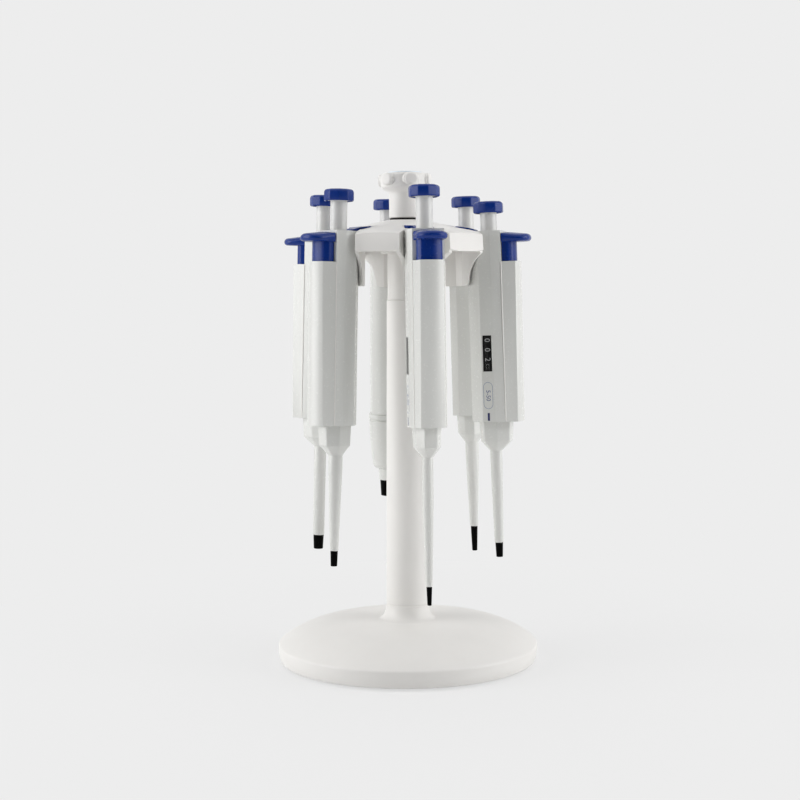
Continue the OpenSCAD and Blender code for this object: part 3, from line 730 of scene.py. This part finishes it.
def seams():
    """Fine upright beads where the handle's two shells meet, one on each side, revolved."""
    low, high = SEAM_END, SHELF_Z - SEAM_END
    profile = [(0, low), (SEAM_R, low), (SEAM_R, high), (0, high)]
    bead = turned(rounded(profile, [0, 0.25, 0.25, 0], 3, closed=False), 12)
    return [shifted(bead, (SEAM_X, side * SEAM_Y, 0)) for side in (-1, 1)]


def tip_cone(k):
    """Revolved black cone with a rounded rim and its bore."""
    shaft = SHAFTS[k]
    bore = min(TIP_BORE_R, shaft.mouth_r * 0.5)
    profile = [(0, shaft.end_z + STEM_H), (shaft.cone_r, shaft.end_z + STEM_H),
               (shaft.cone_r, shaft.end_z), (shaft.mouth_r, shaft.mouth_z), (bore, shaft.mouth_z),
               (bore, shaft.mouth_z + TIP_BORE_H), (0, shaft.mouth_z + TIP_BORE_H)]
    return turned(rounded(profile, [0, 0.1, 0.1, 0.35, 0.15, 0, 0], 5, closed=False), 64)


def on_drum(flat, lift):
    """Bends flat (x, z) drawing points onto the counter's rings:
    y = DRUM_Y - sqrt(DRUM_R^2 - (x - WINDOW_MID)^2) - lift."""
    x, z = flat[..., 0], flat[..., 1]
    return np.stack([x, DRUM_Y - np.sqrt(DRUM_R ** 2 - (x - WINDOW_MID) ** 2) - lift, z], -1)


def on_side(flat, lift):
    """Lays flat (x, z) drawing points over the handle's display side: y = -SIDE_Y - lift."""
    x, z = flat[..., 0], flat[..., 1]
    return np.stack([x, np.full(x.shape, -SIDE_Y - lift), z], -1)


def counter():
    """Counter rings behind the window: a grid bent onto the drum, with a groove between
    rings."""
    x = np.linspace(WINDOW_X[0] + WINDOW_GAP, WINDOW_X[1] - WINDOW_GAP, 25)
    z = np.linspace(WINDOW_Z[0] + WINDOW_GAP, WINDOW_Z[1] - WINDOW_GAP, 141)
    from_middle = np.abs((WINDOW_Z[1] - z) % RING_PITCH - RING_PITCH / 2)
    groove = RING_GROOVE * (from_middle > RING_PITCH / 2 - RING_GROOVE_HALF_W)
    front = on_drum(np.stack(np.meshgrid(x, z), -1), -groove[:, None])
    back = front.copy()
    back[..., 1] = -SIDE_Y + WINDOW_DEEP - 0.05
    return tube(np.concatenate([front, back[:, ::-1]], 1))


# ---- Printed marks ------------------------------------------------------------------

def glyphs(text, size, centre, lay, lift):
    """Generic digits as ink: flat font outlines turned sideways about their centre, and laid by
    on_drum or on_side."""
    curve = bpy.data.curves.new("digits", "FONT")
    curve.body = text
    curve.size = size
    curve.align_x, curve.align_y = "CENTER", "CENTER"
    curve.resolution_u = 3
    holder = bpy.data.objects.new("digits", curve)
    mesh = holder.to_mesh()
    flat = np.array([v.co[:2] for v in mesh.vertices])
    faces = [list(p.vertices) for p in mesh.polygons]
    holder.to_mesh_clear()
    bpy.data.objects.remove(holder)
    bpy.data.curves.remove(curve)
    sideways = np.stack([centre[0] + flat[:, 1], centre[1] - flat[:, 0]], -1)
    return lay(sideways, lift), faces


def stadium(half_w, z0, z1, steps=16):
    """Outline of two half circles of radius half_w joined by straight sides, about LABEL_X."""
    a = np.linspace(0, math.pi, steps)
    arch = np.stack([half_w * np.cos(a), half_w * np.sin(a)], -1)
    return np.concatenate([arch + [LABEL_X, z1 - half_w], -arch + [LABEL_X, z0 + half_w]])


def oval():
    """Flat band between two stadiums on the handle's side."""
    both = np.stack([stadium(*OVAL_OUTER), stadium(*OVAL_INNER)])
    return on_side(both, SIDE_INK).reshape(-1, 3), rings_faces(*both.shape[:2]).tolist()


def tick(i):
    """Line i of the scale under the last digit; each fourth one is longer."""
    z = TICK_Z + TICK_PITCH * i
    half = TICK_LONG if i % TICK_EVERY == 0 else TICK_SHORT
    left, right = WINDOW_MID - half, WINDOW_MID + half
    corners = np.array([(left, z), (right, z), (right, z + TICK_T), (left, z + TICK_T)])
    return on_drum(corners, DRUM_INK), [[0, 1, 2, 3]]


def printed_marks(k, body, place):
    """Ink on the display side: the counter's digits and scale, an oval round the range, and a
    colour bar."""
    digits = [glyphs(c, DIGIT_SIZE, (WINDOW_MID, DIGIT_Z - RING_PITCH * i), on_drum, DRUM_INK)
              for i, c in enumerate(READINGS[k])]
    scale = [tick(i) for i in range(TICKS)]
    size = LABEL_SIZE if len(RANGES[k]) < LABEL_CHARS else LABEL_SMALL
    label = glyphs(RANGES[k], size, (LABEL_X, LABEL_Z), on_side, SIDE_INK)
    bar = on_side(np.array(BAR), SIDE_INK), [[0, 1, 2, 3]]
    add_piece(f"digits_{k}", digits + scale, ink_grey, body, place=place)
    add_piece(f"oval_{k}", [oval()], ink_outline, body, place=place)
    add_piece(f"range_{k}", [label], ink_blue, body, place=place)
    add_piece(f"bar_{k}", [bar], ink_navy, body, place=place)


for k in PIPETTES:
    place, body = pipette_place(k), f"pipette_{k}"
    button, ejector = f"button_{k}", f"ejector_{k}"
    softened(f"handle_{k}", f"grip_{k}", pipette_white, body, 0.45,
             place=place, reshape=handle_points)
    # The seam beads take the stand's brighter white, not the handle's own: a painted highlight
    # along each seam.
    add_piece(f"seams_{k}", seams(), stand_white, body, place=place)
    softened(f"finger_hook_{k}", f"hook_{k}", pipette_blue, body, 0.6, angle=20)
    add_piece(f"tip_{k}", [tip_cone(k)], tip_black, body, [f"tip_cone_{k}"], place)
    add_piece(f"counter_{k}", [counter()], counter_black, body,
              [f"display_{k}"], place)
    add_piece(f"plunger_{k}", [plunger_rod(k)], rod_white, f"plunger_{k}",
              [f"plunger_rod_{k}"], place)
    add_piece(f"button_{k}", [push_button(k)], pipette_blue, button,
              [f"push_button_{k}"], place, sharp=50)
    add_piece(f"lining_{k}", [button_lining(k)], pipette_white, button,
              place=place)
    add_piece(f"ejector_{k}", [thumb_flange()] + skirt(), pipette_blue, ejector,
              [f"ejector_button_{k}"], place)
    add_piece(f"sleeve_{k}", [sleeve(k)], pipette_white, ejector,
              [f"ejector_sleeve_{k}"], place)
    printed_marks(k, body, place)

# A pipette's nodes end in its number, and the stand's don't
for node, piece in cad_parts.items():
    plain = pipette_white if node[-1].isdigit() else stand_white
    piece.data.materials.clear()
    piece.data.materials.append(NODE_MATERIALS.get(node, plain))

# ---- Camera -------------------------------------------------------------------------

VIEW_TURN = math.radians(12.3523)
PITCH, YAW, ROLL = 0.067917, -0.0041325, 0.0073482
DISTANCE = 0.896714
EYE_Z = 0.218177
FOCAL_PX = 1499.16
IMAGE_PX = 800
SENSOR = 36


def place_camera():
    """Camera at the object's left front: its axes from yaw, pitch and roll, then turned round
    the column."""
    across = Vector((math.cos(YAW), -math.sin(YAW), 0))
    ahead = Vector((math.sin(YAW), math.cos(YAW), 0))
    forward = ahead * math.cos(PITCH) - Vector((0, 0, math.sin(PITCH)))
    up = ahead * math.sin(PITCH) + Vector((0, 0, math.cos(PITCH)))
    right = across * math.cos(ROLL) - up * math.sin(ROLL)
    above = across * math.sin(ROLL) + up * math.cos(ROLL)
    axes = Matrix((right, above, -forward)).transposed().to_4x4()
    camera = new_object("camera", bpy.data.cameras.new("camera"))
    camera.data.sensor_width = SENSOR
    camera.data.lens = FOCAL_PX * SENSOR / IMAGE_PX
    camera.data.clip_start = 0.05
    turn = Matrix.Rotation(-VIEW_TURN, 4, "Z")
    camera.matrix_world = turn @ Matrix.Translation((0, -DISTANCE, EYE_Z)) @ axes
    bpy.context.scene.camera = camera


# ---- Floor and light ----------------------------------------------------------------

WHITE = (1, 1, 1, 1)
BACKGROUND = 0.847          # level of the background that the camera sees
AMBIENT = 0.46              # level of the world's light on the object
FRONT_CORE, FRONT_EDGE = 28, 62     # degrees from the camera's side: unlit within, lit beyond
FLOOR_RINGS = (0.05, 0.2, 0.5, 1.2, 3.0)
FLOOR_POINTS = 96
PAPER = 0.9
FADE_R = (0.07, 0.34)       # where the floor turns from paper into background
FADE_SHARE = (0.7, 1.0)     # the background's share there
AIM_Z = 0.15

# Name, degrees round from the camera's side, degrees up, distance, size, watts
LAMPS = [
    ("left_box", -79, 12, 0.95, (0.7, 1.2), 7.5),
    ("right_box", 76, 12, 0.95, (0.7, 1.2), 6.8),
    ("top_box", 180, 78, 1.1, (1.0, 1.0), 2.6),
]


def camera_like(nodes, links):
    """1 for camera, glossy and transmission rays, and 0 for the rest."""
    path = nodes.new("ShaderNodeLightPath").outputs
    first = maths(nodes, links, "MAXIMUM", path["Is Camera Ray"], path["Is Glossy Ray"])
    return maths(nodes, links, "MAXIMUM", first, path["Is Transmission Ray"])


def set_world():
    """Pale background for rays that look at it, and a weaker even light for the object. The room
    is unlit on the camera's side: there the level falls smoothly for all rays but the camera's
    own."""
    world = bpy.data.worlds.new("studio")
    bpy.context.scene.world = world
    world.use_nodes = True
    nodes, links = world.node_tree.nodes, world.node_tree.links
    background = nodes["Background"].inputs
    background["Color"].default_value = WHITE
    level = map_range(nodes, links, camera_like(nodes, links), (AMBIENT, BACKGROUND))
    where = nodes.new("ShaderNodeTexCoord")
    facing = nodes.new("ShaderNodeVectorMath")
    facing.operation = "DOT_PRODUCT"
    facing.inputs[1].default_value = (-math.sin(VIEW_TURN), -math.cos(VIEW_TURN), 0)
    links.new(where.outputs["Generated"], facing.inputs[0])
    cone = [math.cos(math.radians(a)) for a in (FRONT_EDGE, FRONT_CORE)]
    lit = map_range(nodes, links, facing.outputs["Value"], (1, 0), cone, smooth=True)
    camera_ray = nodes.new("ShaderNodeLightPath").outputs["Is Camera Ray"]
    kept = maths(nodes, links, "MAXIMUM", lit, camera_ray)
    links.new(maths(nodes, links, "MULTIPLY", level, kept), background["Strength"])


def floor_paper():
    """Grey paper that takes the shadow, mixed with the background's own level by the distance
    from the column."""
    material = bpy.data.materials.new("floor_paper")
    material.use_nodes = True
    nodes, links = material.node_tree.nodes, material.node_tree.links
    nodes.remove(nodes["Principled BSDF"])
    paper = nodes.new("ShaderNodeBsdfDiffuse")
    paper.inputs["Color"].default_value = (PAPER, PAPER, PAPER, 1)
    glow = nodes.new("ShaderNodeEmission")
    glow.inputs["Color"].default_value = WHITE
    glow.inputs["Strength"].default_value = BACKGROUND
    where = nodes.new("ShaderNodeTexCoord")
    length = nodes.new("ShaderNodeVectorMath")
    length.operation = "LENGTH"
    links.new(where.outputs["Object"], length.inputs[0])
    fade = map_range(nodes, links, length.outputs["Value"], FADE_SHARE, FADE_R, smooth=True)
    mix = nodes.new("ShaderNodeMixShader")
    links.new(maths(nodes, links, "MULTIPLY", fade, camera_like(nodes, links)), mix.inputs[0])
    links.new(paper.outputs[0], mix.inputs[1])
    links.new(glow.outputs[0], mix.inputs[2])
    links.new(mix.outputs[0], nodes["Material Output"].inputs["Surface"])
    return material


def floor():
    """Round flat floor as rings about the column."""
    a = np.linspace(0, 2 * np.pi, FLOOR_POINTS, endpoint=False)
    rings = np.stack([np.stack([r * np.cos(a), r * np.sin(a), 0 * a], -1) for r in FLOOR_RINGS])
    faces = rings_faces(len(FLOOR_RINGS), FLOOR_POINTS).tolist()
    faces.append(list(range(FLOOR_POINTS))[::-1])
    mesh = bpy.data.meshes.new("floor")
    mesh.from_pydata(rings.reshape(-1, 3).tolist(), [], [f[::-1] for f in faces])
    mesh.materials.append(floor_paper())
    new_object("floor", mesh)


def softbox(name, azimuth, elevation, distance, size, power):
    """Area lamp aimed at the middle of the stand."""
    lamp = bpy.data.lights.new(name, "AREA")
    lamp.shape = "RECTANGLE"
    lamp.size, lamp.size_y = size
    lamp.energy = power
    source = new_object(name, lamp)
    a, e = math.radians(azimuth) - VIEW_TURN, math.radians(elevation)
    away = Vector((math.sin(a) * math.cos(e), -math.cos(a) * math.cos(e), math.sin(e)))
    source.location = Vector((0, 0, AIM_Z)) + away * distance
    source.rotation_mode = "QUATERNION"
    source.rotation_quaternion = (-away).to_track_quat("-Z", "Y")


place_camera()
set_world()
floor()
for lamp in LAMPS:
    softbox(*lamp)
bpy.context.scene.view_settings.view_transform = "Standard"
